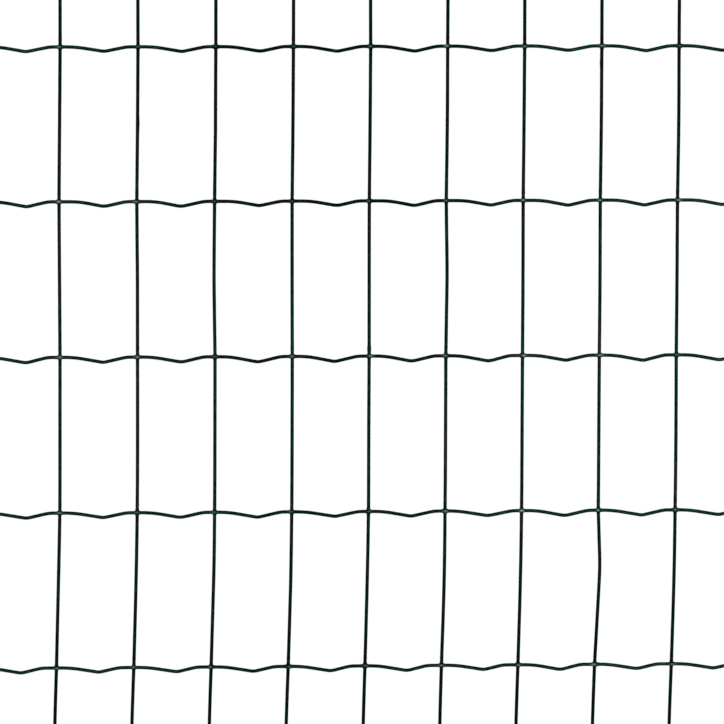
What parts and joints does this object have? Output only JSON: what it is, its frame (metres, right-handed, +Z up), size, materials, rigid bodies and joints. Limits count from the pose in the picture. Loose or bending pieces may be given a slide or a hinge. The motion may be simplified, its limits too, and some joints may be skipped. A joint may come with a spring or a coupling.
{
  "type": "welded wire mesh fencing sheet",
  "caption": "Flat rectangular sheet of green plastic-coated welded fence wire, with straight cross wires under crimped line wires.",
  "frame": {"origin": "under the middle of the sheet, in the plane it lies on", "axes": "+X along the sheet's length and its line wires, +Y along the cross wires, across the width that stands upright in a fence, +Z up from the ground through the sheet to the line wires"},
  "size_m": [2, 0.823, 0.0041],
  "materials": {
    "green_coated_wire": "satin dark green plastic coat over galvanised steel wire"
  },
  "bodies": {
    "root": {"welded_mesh_sheet": "green_coated_wire"}
  },
  "joints": []
}
